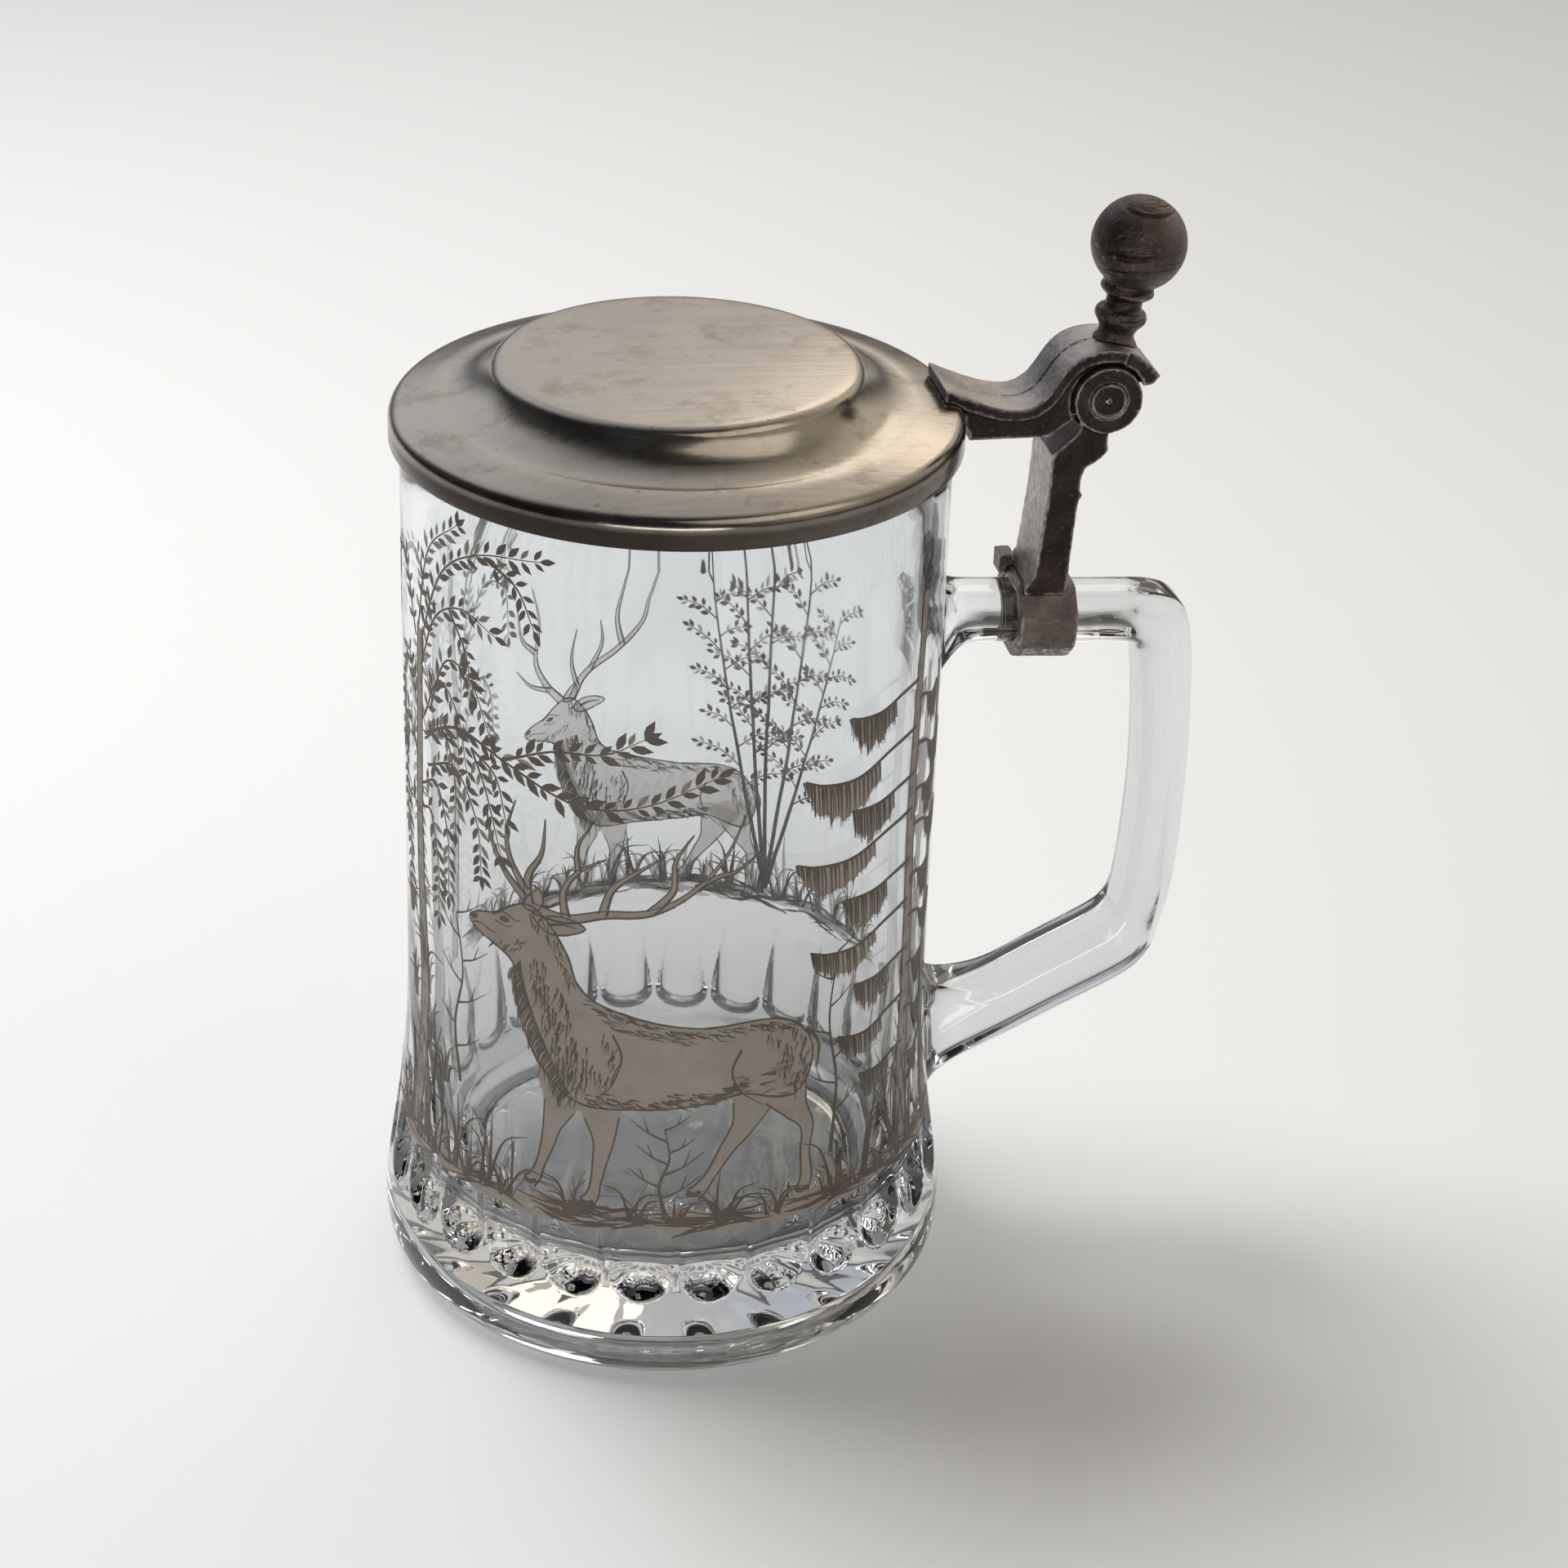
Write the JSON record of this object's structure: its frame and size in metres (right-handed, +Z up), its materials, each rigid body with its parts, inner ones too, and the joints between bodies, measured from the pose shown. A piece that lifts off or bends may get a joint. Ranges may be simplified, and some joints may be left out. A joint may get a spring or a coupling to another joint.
{
  "type": "beer stein",
  "caption": "Clear glass beer stein with a fluted foot, an angular handle and a hinged pewter lid with a ball thumblift.",
  "frame": {"origin": "centre of the foot's underside on the mug's axis", "axes": "+Z up along the mug's axis, +X towards the handle, hinge axis along Y"},
  "size_m": [0.131, 0.0924, 0.178],
  "materials": {
    "clear_glass": "polished",
    "satin_pewter": "satin",
    "dark_pewter": "satin",
    "pin_steel": "satin",
    "fired_print": "matte",
    "lining": "matte"
  },
  "bodies": {
    "mug": {"glass_mug": "clear_glass", "band_lining": "lining", "handle_band": "dark_pewter", "hinge_post": "dark_pewter", "hinge_pin": "pin_steel", "pin_cap_front": "dark_pewter", "pin_cap_rear": "dark_pewter"},
    "lid": {"lid": "satin_pewter", "lid_strap": "dark_pewter", "thumblift": "dark_pewter"}
  },
  "joints": [
    {"name": "lid_hinge", "type": "hinge", "parent": "mug", "child": "lid", "pos_m": [0.0656, 0, 0.1476], "axis": [0, 1, 0], "range_deg": [0, 100]}
  ]
}
